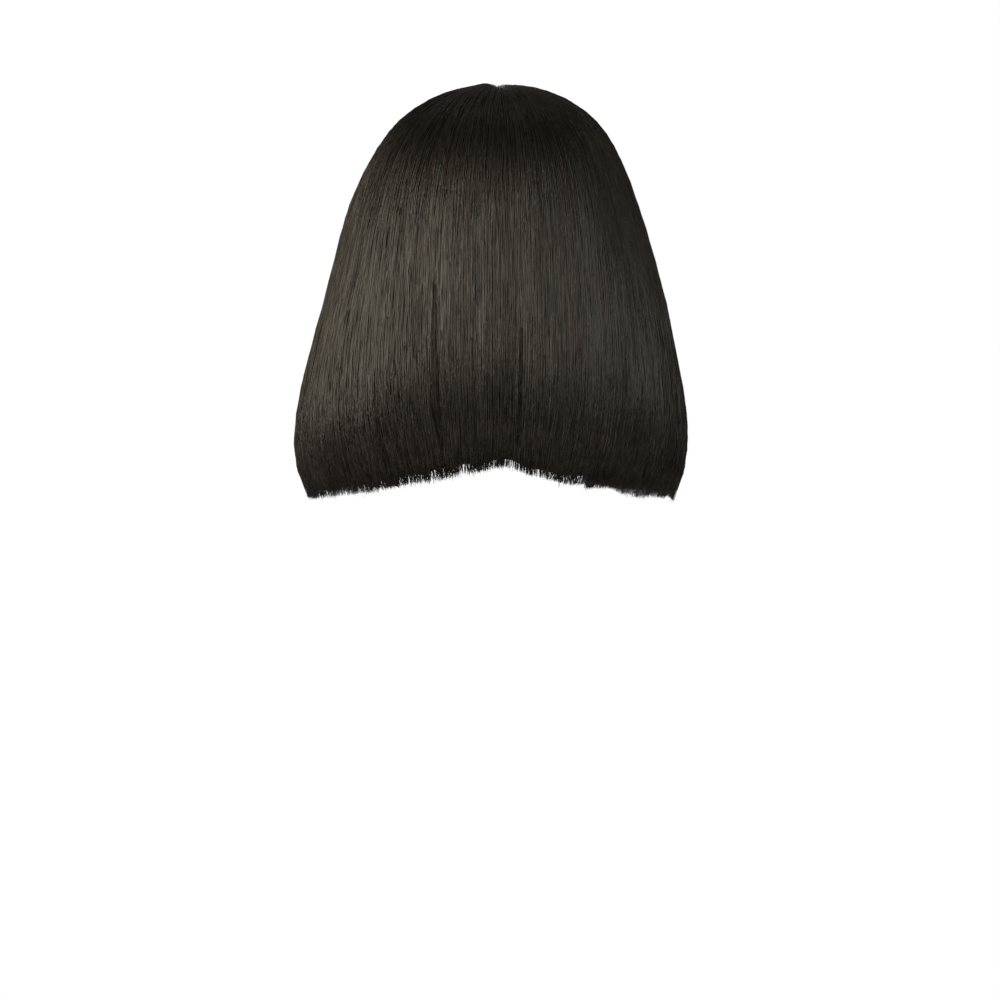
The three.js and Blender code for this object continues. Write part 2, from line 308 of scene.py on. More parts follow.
class HairForm:
    """The outside and the inside of a layer of hair, as grids of points, lock by lock round the wig."""

    def __init__(self, right, back, left, front, side_locks, back_locks):
        strip_low, strip_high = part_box("parting_strip")
        self.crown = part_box("back_fall")[0].y
        self.middle = (strip_low.x + strip_high.x) / 2
        self.strip_front = strip_low.y
        self.front = front
        self.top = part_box(back)[1].z - INSET
        self.side_locks = side_locks
        self.back_locks = back_locks
        self.outside = []
        self.inside = []
        self.add_side(right, -1, np.linspace(0, 1, side_locks))
        self.add_back(back)
        self.add_side(left, 1, np.linspace(1, 0, side_locks))
        self.outside = soften(np.array(self.outside), 1.3, 1.0)
        self.inside = soften(np.array(self.inside), 1.3, 1.0)
        self.out = self.ways_out()
        belt = self.outside[:, int(BELT * LOCK_STEPS)]
        gaps = np.linalg.norm(np.diff(belt, axis=0), axis=1)
        self.girth_at = np.concatenate([[0], np.cumsum(gaps)])
        self.girth = self.girth_at[-1]
        self.lengths = np.linalg.norm(np.diff(self.outside[:, : LOCK_STEPS + 1], axis=1), axis=2).sum(1)

    def add(self, tree, root, way):
        """Adds one lock, which leaves its root in that level way."""
        beyond = (root[0] + INSIDE_AHEAD * way[0], root[1] + INSIDE_AHEAD * way[1])
        self.outside.append(evenly(lock_outline(tree, root, way, True, self.top), LOCK_STEPS))
        self.inside.append(evenly(lock_outline(tree, beyond, way, False, self.top), LOCK_STEPS))

    def add_side(self, node, sign, shares):
        """Adds the locks of one side, which leave the parting side by side."""
        tree = ray_tree(node)
        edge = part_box("side_fall_left")[0].x if sign > 0 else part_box("side_fall_right")[1].x
        for share in shares:
            y = self.front + INSET + share * (self.crown - 2 * INSET - self.front - INSET)
            lean = FRONT_SWEEP * (self.crown - y) / (self.crown - self.strip_front)
            self.add(tree, (edge + sign * ROOT_INSET, y), (sign * math.cos(lean), -math.sin(lean)))

    def add_back(self, node):
        """Adds the locks of the back, which fan out from the crown point."""
        tree = ray_tree(node)
        for share in np.linspace(0, 1, self.back_locks):
            turn = (share - 0.5) * BACK_FAN
            self.add(tree, (self.middle, self.crown + ROOT_INSET), (math.sin(turn), math.cos(turn)))

    def ways_out(self):
        """The way out of the hair at each point of its outside."""
        out = unit(np.cross(np.gradient(self.outside, axis=1), np.gradient(self.outside, axis=0)))
        centre = np.array([self.middle, (self.crown + self.strip_front) / 2, PIVOT_HEIGHT])
        return out * np.sign(((self.outside - centre) * out).sum())

    def lock_of(self, girth):
        inside = np.clip(girth, 0, self.girth)
        past = np.clip(girth - inside, -EDGE_LOOSE, EDGE_LOOSE)
        return np.interp(inside, self.girth_at, np.arange(len(self.girth_at))) + past / self.girth_at[1]

    def root_way(self, lock):
        """The level way in which the locks leave the parting or, less, the crown point."""
        further = read(self.outside, lock, np.full(lock.shape, ROOT_STEPS))
        way = further - read(self.outside, lock, np.zeros(lock.shape))
        way[..., 2] = 0
        is_side = (lock < self.side_locks - 0.5) | (lock > self.side_locks + self.back_locks - 0.5)
        return unit(way) * np.where(is_side, 1.0, CROWN_SHIFT)[..., None]

    def thickness(self, lock, step):
        return np.linalg.norm(read(self.outside, lock, step) - read(self.inside, lock, step), axis=-1)

    def girth_of_back(self, x):
        """Girth at which the back of the hair lies that far to the wearer's left."""
        back = slice(self.side_locks, self.side_locks + self.back_locks)
        return np.interp(x, self.outside[back, int(BELT * LOCK_STEPS), 0], self.girth_at[back])


def ease(low, high, value):
    share = np.clip((value - low) / (high - low), 0, 1)
    return share * share * (3 - 2 * share)


# Clefts that the strands of the back draw away from: how far to the wearer's left, how wide they open and
# where they begin, as a share of the way down.
CLEFTS = [
    {"aside": 37.5 * MM, "opens": 0.7 * MM, "begins": 0.56},
    {"aside": -20.5 * MM, "opens": 0.3 * MM, "begins": 0.66},
    {"aside": 75 * MM, "opens": 0.25 * MM, "begins": 0.74},
    {"aside": 12 * MM, "opens": 0.3 * MM, "begins": 0.6},
    {"aside": -60 * MM, "opens": 0.5 * MM, "begins": 0.6},
    {"aside": -85 * MM, "opens": 0.5 * MM, "begins": 0.65},
]
# Painted shade: darker strands over the first clefts stand for the shade inside them.
PAINTED_SHADE_CLEFTS = 3  # the first of them have darker strands of their own
CLEFT_REACH = 3.2 * MM

# The top of the hair rises and dips beside the end of the parting: where, how much and how broadly.
CROWN_LUMPS = [
    {"aside": 3.6 * MM, "back": 28 * MM, "lift": 0.9 * MM, "breadth": 4.2 * MM},
    {"aside": -4.8 * MM, "back": 31 * MM, "lift": -0.55 * MM, "breadth": 3.4 * MM},
    {"aside": -17 * MM, "back": 30 * MM, "lift": -0.2 * MM, "breadth": 8 * MM},
]
LUMP_LENGTH = 14 * MM
SHOULDER = 5 * MM  # the hair rounds up from the scalp over this distance beside the parting
UNDER_SHOULDER = 11 * MM  # and the dense hair below it over this one
ROOT_SHIFT = 2.0 * MM  # the roots stand about this far in over the parting's strip
ROOT_HEIGHT = 1.3 * MM  # and this high above the cap, which is more than the strip is thick
CROWN_SHIFT = 0.7  # round the crown point they stand in by this share of it

# Broad waves of the outside, which break its sheen: their length round the wig, their length as a share
# of the way down, their turn and their height.
BROAD_WAVES = [
    {"round": 62 * MM, "down": 0.55, "turn": 0.4, "height": 0.45 * MM},
    {"round": 37 * MM, "down": 0.36, "turn": 2.1, "height": 0.36 * MM},
    {"round": 23 * MM, "down": 0.27, "turn": 4.4, "height": 0.24 * MM},
]
# Waves of the stretch that curls in, and how far a strand wavers aside in so many waves down its length.
CURL_WAVES = [
    {"round": 41 * MM, "turn": 1.7, "height": 0.32 * MM},
    {"round": 17 * MM, "turn": 3.6, "height": 0.3 * MM},
    {"round": 9.5 * MM, "turn": 0.2, "height": 0.2 * MM},
]
WAVERS = [{"waves": 1.3, "share": 1.0}, {"waves": 3.4, "share": 0.8}, {"waves": 7.3, "share": 0.65}]
DRIFTS = [{"slow": 1.5, "fast": 3.5, "depth": 0.2 * MM}, {"slow": 4, "fast": 7.5, "depth": 0.2 * MM}]
LOCK_SWAY = 1.2 * MM  # how far the tips of a lock swing aside together
LOCK_RIDGE = 0.35 * MM  # how far the hair sinks between two locks
TIP_SPREAD = 2.4 * MM  # how far single tips stray aside
TIP_DEPTH = 1.8 * MM  # and inwards
LONGER_TIPS = 3.0 * MM  # how much further the hem reaches where it hangs lowest
EDGE_STRANDS = 620
# Painted shade: the dark strands over a cleft stand for its shade.
CLEFT_PER_SHADE_STRAND = 0.0145 * MM  # a cleft has one dark strand for each such part of its opening

FRONT_CORNER = 8 * MM  # the strands at the front edges are cut this much shorter than the solid's corner
FRONT_CORNER_GIRTH = 72 * MM
HUES = {"plain": (0.01, 0.68), "warm": (0.71, 0.83), "cool": (0.86, 0.985)}  # their share of the map's width


def front_corner(form, girth):
    """Share of its length that a strand ends short by, because it hangs near a front edge."""
    edge = np.clip(np.minimum(girth, form.girth - girth), 0, None)
    return FRONT_CORNER / FALL_LENGTH * (1 - ease(0, FRONT_CORNER_GIRTH, edge))


def unevenness(girth, step):
    """How far the outside of the hair sinks, in broad soft waves that break its sheen."""
    sunk = 0
    for wave in BROAD_WAVES:
        phase = 2 * np.pi * step / wave["down"]
        sway = 0.35 * np.sin(phase + wave["turn"])
        swell = np.sin(2 * np.pi * (girth / wave["round"] + sway) + wave["turn"])
        sunk = sunk + wave["height"] * swell * np.cos(phase + 2.3 * wave["turn"])
    curl = 0
    for wave in CURL_WAVES:
        curl = curl + wave["height"] * np.sin(2 * np.pi * girth / wave["round"] + wave["turn"])
    return sunk * ease(0.12, 0.4, step) + curl * np.sin(np.pi * np.clip((step - 0.58) / 0.36, 0, 1)) ** 2


@dataclass
class StrandPlan:
    """Where each strand of a layer lies: round the wig, in depth, and from where to where down the lock."""

    girth: np.ndarray
    depth: np.ndarray  # 0 at the outside of the hair and 1 at its inside
    start: np.ndarray
    end: np.ndarray
    rise: np.ndarray  # how much deeper the root lies, beside the parting
    width: np.ndarray
    tone: np.ndarray | float = 0.0
    drift: float = 1.0
    aside: np.ndarray | float = 0.0  # how far the tip strays aside
    tuck: np.ndarray | float = 0.0  # how much deeper a strand begins that starts under others


def locks_round(form, width, chance):
    """Middles and edges of the locks that strands gather in."""
    gaps = chance.uniform(0.55, 1.5, int(form.girth / width * 1.6)) * width
    edges = np.concatenate([[-width / 2], np.cumsum(gaps) - width / 2])
    edges = edges[edges < form.girth + width]
    return edges, (edges[:-1] + edges[1:]) / 2


class Strands:
    """The strands of a plan, laid on the hair: what their rods and their map are made from."""

    def __init__(self, form, plan, points, sizes, seed):
        self.form = form
        self.plan = plan
        self.sizes = sizes
        self.count = len(plan.girth)
        self.points = points
        self.chance = np.random.default_rng(seed)
        self.find_locks()
        self.t = self.shares()
        warped = self.t**1.3 - 0.03 * np.sin(2 * np.pi * self.t)
        self.step = plan.start[:, None] + (plan.end - plan.start)[:, None] * warped
        self.tips = ease(0.93, 1.04, self.step) * (plan.end > 0.93)[:, None]
        self.girth = self.girths()
        self.lock = form.lock_of(self.girth)
        self.row = self.step * LOCK_STEPS
        self.line = self.middle_line()
        self.out = read(form.out, self.lock, self.row)
        profile = np.minimum(1, 0.35 + 2.6 * self.t) * (1 - 0.75 * ease(0.84, 1.0, self.t))
        self.width = plan.width[:, None] * profile
        self.place = map_places(form, plan.girth, self.tones(), self.chance)
        self.wear_and_painted_shade_step = wear_and_painted_shade_steps(form, plan.girth, self.step)

    def find_locks(self):
        """Which lock each strand gathers in: how far aside it lies there, and how the lock sways."""
        edges, middles = locks_round(self.form, self.sizes.lock_width, np.random.default_rng(7))
        which = np.clip(np.searchsorted(edges, self.plan.girth) - 1, 0, len(middles) - 1)
        self.half = (edges[which + 1] - edges[which]) / 2
        self.aside = (self.plan.girth - middles[which]) / self.half
        self.sway = np.random.default_rng(11).normal(0, 1, (len(middles), 3))[which]

    def shares(self):
        """The places of the points along a strand, which differ a little from strand to strand."""
        t = np.linspace(0, 1, self.points)[None, :]
        jitter = self.chance.uniform(-0.45, 0.45, (self.count, 1))
        return t + jitter / (self.points - 1) * np.sin(np.pi * t)

    def girths(self):
        """Where round the wig each point lies."""
        plan, step, chance = self.plan, self.step, self.chance
        one_each = (self.count, 1)
        pull = 0.03 * ease(0.25, 0.8, step) + 0.15 * ease(0.9, 1.04, step)
        girth = plan.girth[:, None] - (self.aside * self.half)[:, None] * pull
        girth = girth + LOCK_SWAY * self.sway[:, 0][:, None] * ease(0.88, 1.04, step)
        for cleft in CLEFTS:
            gap = girth - self.form.girth_of_back(cleft["aside"])
            pushed = np.sign(gap) * cleft["opens"] * np.exp(-np.abs(gap) / CLEFT_REACH)
            girth = girth + plan.drift * pushed * ease(cleft["begins"] - 0.04, cleft["begins"] + 0.2, step)
        for waver in WAVERS:
            phase = chance.uniform(0, 2 * np.pi, one_each)
            speed = waver["waves"] * chance.uniform(0.75, 1.3, one_each)
            size = waver["share"] * self.sizes.crimp * chance.normal(0, 1, one_each)
            girth = girth + size * np.sin(2 * np.pi * speed * step + phase)
        girth = girth + 0.8 * self.sizes.crimp * chance.normal(0, 1, (self.count, self.points))
        girth = girth + self.tips * TIP_SPREAD * chance.normal(0, 1, one_each)
        return girth + np.reshape(plan.aside, (-1, 1)) * self.t**2

    def middle_line(self):
        """The middle line of each strand, between the outside and the inside of the hair."""
        form, lock, row = self.form, self.lock, self.row
        thick = np.maximum(form.thickness(lock, row), LEAST_DEPTH)
        share = np.clip(self.depths(thick) / thick, -0.05, 1.0)[..., None]
        line = (1 - share) * read(form.outside, lock, row) + share * read(form.inside, lock, row)
        near_root = np.exp(-((self.step / 0.014) ** 2))
        shift = ROOT_SHIFT * self.chance.uniform(0.4, 1.3, (self.count, 1)) * near_root
        line = line - form.root_way(lock) * shift[..., None]
        return line + crown_lift(line)

    def depths(self, thick):
        """How deep in the hair each point lies."""
        plan, step = self.plan, self.step
        depth, rise = plan.depth[:, None], plan.rise[:, None]
        ridge = (self.aside**2)[:, None] * ease(0.3, 0.75, step) * (1 - ease(0.97, 1.03, step))
        loose = LOCK_RIDGE * ridge + plan.drift * self.drifts() + unevenness(self.girth, step)
        deep = depth * thick + loose * (1 - depth)
        deep = deep + self.tips * np.abs(self.chance.normal(0, TIP_DEPTH, (self.count, 1)))
        sunk_root = shoulder(self.form, self.lock, step)
        tucked = shoulder(self.form, self.lock, step - plan.start[:, None])
        deep = deep + sunk_root * rise * thick + tucked * np.reshape(plan.tuck, (-1, 1)) * thick
        return np.minimum(deep, thick - ROOT_HEIGHT * sunk_root * (rise > 0))

    def drifts(self):
        """The slow waver of each strand in depth."""
        one_each = (self.count, 1)
        deep = 0
        for drift in DRIFTS:
            phase = self.step * self.chance.uniform(drift["slow"], drift["fast"], one_each)
            phase = phase + self.chance.uniform(0, 1, one_each)
            deep = deep + drift["depth"] * self.chance.normal(0, 1, one_each) * np.sin(2 * np.pi * phase)
        return deep * ease(-0.05, 0.25, self.step)

    def tones(self):
        """How light each strand is, from 0 to 1. Deeper strands are darker, as painted shade."""
        own = 0.08 * self.chance.normal(0, 1, self.count)
        # painted shade: the deeper a strand lies, the darker it is
        deeper = 0.5 * np.minimum(self.plan.depth, 0.5)
        return np.clip(0.56 + self.plan.tone + own + 0.06 * self.sway[:, 1] - deeper, 0, 1)


def shoulder(form, lock, step, reach=SHOULDER):
    """How far the hair has yet to rise out of the parting: 1 at the root and 0 further down."""
    length = form.lengths[np.clip(lock.astype(int), 0, len(form.lengths) - 1)]
    return np.exp(-((step * length / reach) ** 2))


def crown_lift(place):
    """Lumps and the dip at the top, which show in the outline from behind."""
    lift = np.zeros(place.shape)
    for lump in CROWN_LUMPS:
        aside = (place[..., 0] - lump["aside"]) / lump["breadth"]
        back = (place[..., 1] - lump["back"]) / LUMP_LENGTH
        lift[..., 2] += lump["lift"] * np.exp(-(aside**2) - back**2) * ease(-0.02, 0.0, place[..., 2])
    return lift


def map_places(form, girth, tone, chance):
    """Where across the map each strand takes its colour from, by its tone and its hue."""
    reddish = girth_bump(girth, form.girth_of_back(0.105), 26 * MM)
    greenish = girth_bump(girth, form.girth_of_back(-0.06), 45 * MM)
    draw = chance.uniform(0, 1, len(girth))
    is_warm = draw < 0.1 + 0.22 * reddish
    is_cool = draw > 0.95 - 0.3 * greenish
    places = np.zeros(len(girth))
    for hue, chosen in (("plain", ~is_warm & ~is_cool), ("warm", is_warm), ("cool", is_cool & ~is_warm)):
        low, high = HUES[hue]
        places[chosen] = low + tone[chosen] * (high - low)
    return places


def wear_and_painted_shade_steps(form, girth, step):
    """How far down the map each point takes its painted shade and its worn tips from.

    The painted shade of the curl starts lower on the wearer's left, so the sheen reaches lower there,
    and the painted dark band of the crown is weaker at its flanks.
    """
    lower = 0.035 * girth_bump(girth, form.girth_of_back(0.105), 32 * MM)
    aside = girth - form.girth_of_back(-0.005)
    flank = 0.1 * ease(55 * MM, 110 * MM, -aside) + 0.04 * ease(70 * MM, 115 * MM, aside)
    lighter = flank[:, None] * ease(0.09, 0.14, step) * (1 - ease(0.24, 0.46, step))
    return step + lighter - lower[:, None] * ease(0.6, 0.75, step) * (1 - ease(0.9, 0.98, step))


def girth_bump(girth, middle, reach):
    return np.exp(-(((girth - middle) / reach) ** 2))


def rod_corners(strands, seed):
    """The corners of the strands' rods, three at each point. A rod rolls a little round its line."""
    along = unit(np.gradient(strands.line, axis=1))
    across = unit(np.cross(strands.out, along))
    square = np.cross(along, across)
    chance = np.random.default_rng(seed)
    roll = chance.normal(0, 0.2, (strands.count, 1, 1))
    roll = roll + chance.normal(0, 0.24, (strands.count, strands.points, 1))
    roll = roll * (0.25 + 0.75 * ease(0.12, 0.35, strands.step))[..., None]
    wide = (strands.width / 2)[..., None]
    relief = strands.sizes.strand_relief
    corners = []
    for turn in (math.pi / 2, math.pi / 2 + 2 * math.pi / 3, math.pi / 2 + 4 * math.pi / 3):
        side, rise = np.cos(turn + roll), np.sin(turn + roll)
        corners.append(strands.line + wide * 1.15 * (across * side + square * rise * relief * 1.6))
    return np.stack(corners, axis=2).reshape(-1, 3)


def rod_faces(count, points):
    """The faces of closed three-sided rods: their sides, then their ends."""
    first = np.arange(count)[:, None, None] * points * 3
    row = np.arange(points - 1)[None, :, None] * 3
    side = np.arange(3)[None, None, :]
    here = first + row + side
    beside = first + row + (side + 1) % 3
    sides = np.stack([here, beside, beside + 3, here + 3], axis=-1).reshape(-1, 4)
    root = np.arange(count)[:, None] * points * 3
    ends = np.concatenate([root + [2, 1, 0], root + 3 * (points - 1) + [0, 1, 2]])
    return sides.tolist() + ends.tolist()


def rod_map(strands):
    """The map of the rods: tone and hue run across it, and the way down the lock runs along it."""
    side = np.arange(3)[None, None, :]
    left = strands.place[:, None, None] + MAP_BREADTH * side / 3 + np.zeros((1, strands.points - 1, 1))
    right = left + MAP_BREADTH / 3
    # the way down, shifted where the painted shade starts higher or lower
    down = np.clip(strands.wear_and_painted_shade_step, 0, 1.04) / 1.06 + 0.008
    here = down[:, :-1, None] + 0 * side
    after = down[:, 1:, None] + 0 * side
    sides = np.stack([left, here, right, here, right, after, left, after], axis=-1)
    place, root = strands.place, down[:, 0]
    first = np.stack([place, root, place + MAP_BREADTH, root, place, root + 0.002], axis=-1)
    last = first + np.stack([0 * root, down[:, -1] - root] * 3, axis=-1)
    return np.concatenate([sides.reshape(-1), first.reshape(-1), last.reshape(-1)]).astype("f")


def strand_piece(name, strands, material, seed):
    """Joins strands into one piece. Each is a closed three-sided rod that lies flat on the hair."""
    mesh = bpy.data.meshes.new(name)
    mesh.from_pydata(rod_corners(strands, seed).tolist(), [], rod_faces(strands.count, strands.points))
    layer = mesh.uv_layers.new(name=MAP_NAME)
    layer.data.foreach_set("uv", rod_map(strands))
    return finish_piece(name, mesh, material)


def finish_piece(name, mesh, material):
    mesh.materials.append(material)
    mesh.polygons.foreach_set("use_smooth", [True] * len(mesh.polygons))
    mesh.update()
    piece = bpy.data.objects.new(name, mesh)
    bpy.context.scene.collection.objects.link(piece)
    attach(piece, "root")
    return piece


# Materials


class Nodes:
    """A material's node tree, built a node at a time."""

    def __init__(self, name):
        self.material = bpy.data.materials.new(name)
        self.material.use_nodes = True
        self.tree = self.material.node_tree
        self.skin = self.tree.nodes["Principled BSDF"]

    def add(self, kind, settings=None, **inputs):
        node = self.tree.nodes.new(kind)
        for setting, value in (settings or {}).items():
            setattr(node, setting, value)
        for socket, value in inputs.items():
            self.feed(node.inputs[socket.replace("_", " ")], value)
        return node

    def feed(self, socket, value):
        if isinstance(value, bpy.types.NodeSocket):
            self.tree.links.new(value, socket)
        else:
            socket.default_value = value

    def calculate(self, operation, a, b=0.0):
        node = self.add("ShaderNodeMath", {"operation": operation})
        self.feed(node.inputs[0], a)
        self.feed(node.inputs[1], b)
        return node.outputs[0]

    def range(self, value, low, high, to_low, to_high):
        node = self.add("ShaderNodeMapRange", {"clamp": True}, Value=value, From_Min=low, From_Max=high)
        self.feed(node.inputs["To Min"], to_low)
        self.feed(node.inputs["To Max"], to_high)
        return node.outputs[0]

    def band(self, value, places, outside, inside):
        """The inside number between the two middle places, and the outside one before and after all four."""
        begins, full, fades, ends = places
        before = self.range(value, begins, full, outside, inside)
        after = self.range(value, fades, ends, inside, outside)
        return self.calculate("MAXIMUM" if outside > inside else "MINIMUM", before, after)

    def mix(self, share, a, b):
        node = self.add("ShaderNodeMix", {"data_type": "RGBA"})
        self.feed(node.inputs["Factor"], share)
        self.feed(node.inputs["A"], a)
        self.feed(node.inputs["B"], b)
        return node.outputs["Result"]

    def surface_map(self, across, along):
        """The piece's own map, stretched."""
        place = self.add("ShaderNodeUVMap", {"uv_map": MAP_NAME}).outputs["UV"]
        scale = self.add("ShaderNodeVectorMath", {"operation": "MULTIPLY"})
        self.feed(scale.inputs[0], place)
        scale.inputs[1].default_value = (across, along, 1)
        return scale.outputs[0]

    def noise(self, vector, scale=1.0, detail=2.0, rough=0.5, flat=True):
        node = self.add(
            "ShaderNodeTexNoise", {"noise_dimensions": "2D" if flat else "3D"}, Vector=vector, Scale=scale,
            Detail=detail, Roughness=rough,
        )
        return node.outputs["Fac"]

    def bump(self, height, strength, distance):
        node = self.add("ShaderNodeBump", Height=height, Strength=strength, Distance=distance)
        self.feed(self.skin.inputs["Normal"], node.outputs["Normal"])


def colour(value, brightness=1.0):
    return (*[part * brightness for part in value], 1.0)


def strand_tones(nodes, across, colours, brightness):
    """Tones from dark to light, side by side across the map: the plain hair's, the warm's and the cool's."""
    tones = nodes.add("ShaderNodeValToRGB", Fac=across)
    stops = []
    lights = {"plain": colours.hair_light, "warm": colours.hair_warm, "cool": colours.hair_cool}
    for hue, light in lights.items():
        low, high = HUES[hue]
        stops += [(low, colours.hair_dark), (high, light)]
    ramp = tones.color_ramp.elements
    while len(ramp) < len(stops):
        ramp.new(0.5)
    for stop, (position, tone) in zip(ramp, stops):
        stop.position = position
        stop.color = colour(tone, brightness)
    return tones.outputs["Color"]


def strand_hair(name, colours, brightness, rough, sheen):
    """Strand hair, with painted shade round the crown and towards the hem, and lighter worn tips."""
    nodes = Nodes(name)
    place = nodes.add("ShaderNodeSeparateXYZ", Vector=nodes.surface_map(1, 1))
    tones = strand_tones(nodes, place.outputs["X"], colours, brightness)
    along = place.outputs["Y"]
    streak = nodes.noise(nodes.surface_map(260, 19), detail=2, rough=0.6)
    shade = nodes.range(streak, 0.3, 0.7, 0.68, 1.15)
    # Painted shade: a dark band below the crown, between the top light's sheen and the key light's.
    painted_crown_shade = nodes.band(along, (0.1, 0.16, 0.26, 0.37), 1.0, 0.35)
    # Painted shade: darker where the hair curls under, and darker again at the hem.
    painted_curl_shade = nodes.range(along, 0.71, 0.83, 1.0, 0.32)
    painted_hem_shade = nodes.range(along, 0.9, 0.97, 1.0, 0.7)
    for part in (painted_crown_shade, painted_curl_shade, painted_hem_shade):
        shade = nodes.calculate("MULTIPLY", shade, part)
    shaded = nodes.add("ShaderNodeVectorMath", {"operation": "SCALE"})
    nodes.feed(shaded.inputs[0], tones)
    nodes.feed(shaded.inputs["Scale"], shade)
    # Painted shade: in the band below the crown the tones are also mixed towards one even dark colour.
    painted_crown_dark_share = nodes.band(along, (0.1, 0.16, 0.25, 0.35), 0.0, 0.75)
    painted_crown_darkened = nodes.mix(painted_crown_dark_share, shaded.outputs[0], colour(colours.hair_light, 0.16 * brightness))
    worn_tip = nodes.range(along, 0.8, 0.88, 0.0, 0.7)
    worn_share = nodes.calculate("MULTIPLY", worn_tip, nodes.range(streak, 0.54, 0.63, 0.0, 1.0))
    hair = nodes.mix(worn_share, painted_crown_darkened, colour(colours.worn_ends, brightness))
    nodes.feed(nodes.skin.inputs["Base Color"], hair)
    nodes.skin.inputs["Roughness"].default_value = rough
    nodes.skin.inputs["Specular IOR Level"].default_value = sheen
    nodes.skin.inputs["Specular Tint"].default_value = (1.0, 0.95, 0.86, 1.0)
    nodes.skin.inputs["IOR"].default_value = 1.55
    nodes.bump(nodes.noise(nodes.surface_map(420, 95), detail=1, rough=0.5), 0.6, 0.9 * MM)
    return nodes.material


def dense_hair(name, colours, brightness, across, rough, sheen):
    """The dense hair below the strands, which shows only between them."""
    nodes = Nodes(name)
    streak = nodes.noise(nodes.surface_map(across, 14), detail=3, rough=0.6)
    fine = nodes.noise(nodes.surface_map(across * 2.7, 30), detail=2)
    broad_share = nodes.range(streak, 0.35, 0.7, 0.0, 0.7)
    share = nodes.calculate("MULTIPLY", broad_share, nodes.range(fine, 0.3, 0.7, 0.3, 1.0))
    # A brightness below 1 darkens the hair colours: painted shade under the strands.
    hair = nodes.mix(share, colour(colours.hair_dark, brightness), colour(colours.hair_light, brightness))
    nodes.feed(nodes.skin.inputs["Base Color"], hair)
    nodes.skin.inputs["Roughness"].default_value = rough
    nodes.skin.inputs["Specular IOR Level"].default_value = sheen
    nodes.bump(streak, 0.6, 0.6 * MM)
    return nodes.material


def net_cloth(colours):
    """Stretch net: crossed threads over dark gaps."""
    nodes = Nodes("cap_net")
    place = nodes.add("ShaderNodeTexCoord").outputs["Object"]
    threads = []
    for turn in (0.6, -0.6):
        turned = nodes.add("ShaderNodeMapping", Vector=place, Rotation=(0.5, turn, turn))
        wave = nodes.add(
            "ShaderNodeTexWave", {"wave_type": "BANDS", "bands_direction": "Z"},
            Vector=turned.outputs["Vector"], Scale=170.0, Distortion=0.0,
        )
        threads.append(nodes.range(wave.outputs["Fac"], 0.55, 0.9, 0.0, 1.0))
    net = nodes.calculate("MAXIMUM", threads[0], threads[1])
    cloth = nodes.mix(net, colour(colours.net, 0.35), colour(colours.net))
    nodes.feed(nodes.skin.inputs["Base Color"], cloth)
    nodes.skin.inputs["Roughness"].default_value = 0.8
    nodes.skin.inputs["Specular IOR Level"].default_value = 0.25
    nodes.bump(net, 0.7, 0.3 * MM)
    return nodes.material


def parting_silk(colours):
    """Skin-toned silk with a fine weave and the small dark dots of the roots."""
    nodes = Nodes("parting_silk")
    place = nodes.add("ShaderNodeTexCoord").outputs["Object"]
    mottle = nodes.noise(place, scale=160.0, detail=3, flat=False)
    dots = nodes.add("ShaderNodeTexVoronoi", {"feature": "F1"}, Vector=place, Scale=1100.0)
    root = nodes.range(dots.outputs["Distance"], 0.12, 0.3, 0.0, 1.0)
    light_share = nodes.range(mottle, 0.35, 0.65, 0.0, 1.0)
    skin = nodes.mix(light_share, colour(colours.scalp, 0.62), colour(colours.scalp))
    nodes.feed(nodes.skin.inputs["Base Color"], nodes.mix(root, colour((0.05, 0.03, 0.02)), skin))
    nodes.skin.inputs["Roughness"].default_value = 0.6
    nodes.bump(mottle, 0.4, 0.2 * MM)
    return nodes.material


def plain_floor():
    nodes = Nodes("plain_floor")
    nodes.skin.inputs["Base Color"].default_value = (0.86, 0.86, 0.86, 1)
    nodes.skin.inputs["Roughness"].default_value = 0.9
    return nodes.material


# Pieces


UNDER_ROWS = LOCK_STEPS * 4 // 5
UNDER_END = 0.98  # the dense hair ends this share of the way down
UNDER_TIP_SINK = 1.5 * MM  # it lies this much deeper at its end
UNDER_ROOT = 0.8  # and this share of the thickness deeper at its root
WEFT_SINK = 0.6 * MM
WEFT_FRONT = 0.76  # the under-wefts are looked for from this share of their way to the front

forms = {}


def fall_form():
    if "fall" not in forms:
        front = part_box("parting_strip")[0].y
        forms["fall"] = HairForm("side_fall_right", "back_fall", "side_fall_left", front, 42, 140)
    return forms["fall"]


def weft_form():
    if "weft" not in forms:
        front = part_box("under_weft_left")[0].y * WEFT_FRONT
        forms["weft"] = HairForm("under_weft_right", "under_weft_back", "under_weft_left", front, 14, 100)
    return forms["weft"]


def grid_key(vertex):
    return round(vertex.co.x, 5), round(vertex.co.y, 5)


def under_places(form, locks, share, sink, root_depth):
    """Where the outer and the inner points of dense hair lie, for places in a square of locks and lengths."""
    lock = locks[0] + share[:, 0] * (locks[-1] - locks[0])
    girth = np.interp(lock, np.arange(len(form.girth_at)), form.girth_at)
    row = share[:, 1] ** 1.2 * (UNDER_END - front_corner(form, girth)) * LOCK_STEPS
    thick = form.thickness(lock, row)
    tip = 1 - ease(0.86, 1.0, share[:, 1])
    depth = np.clip((sink + UNDER_TIP_SINK * (1 - tip)) / np.maximum(thick, 1e-4), 0.03, 0.45)
    depth = depth + root_depth * shoulder(form, lock, row / LOCK_STEPS, UNDER_SHOULDER)
    depth = np.minimum(0.94, depth)[:, None]
    far = depth + (0.985 - depth) * (0.25 + 0.75 * tip[:, None])
    outer, inner = read(form.outside, lock, row), read(form.inside, lock, row)
    return outer + (inner - outer) * depth, outer + (inner - outer) * far


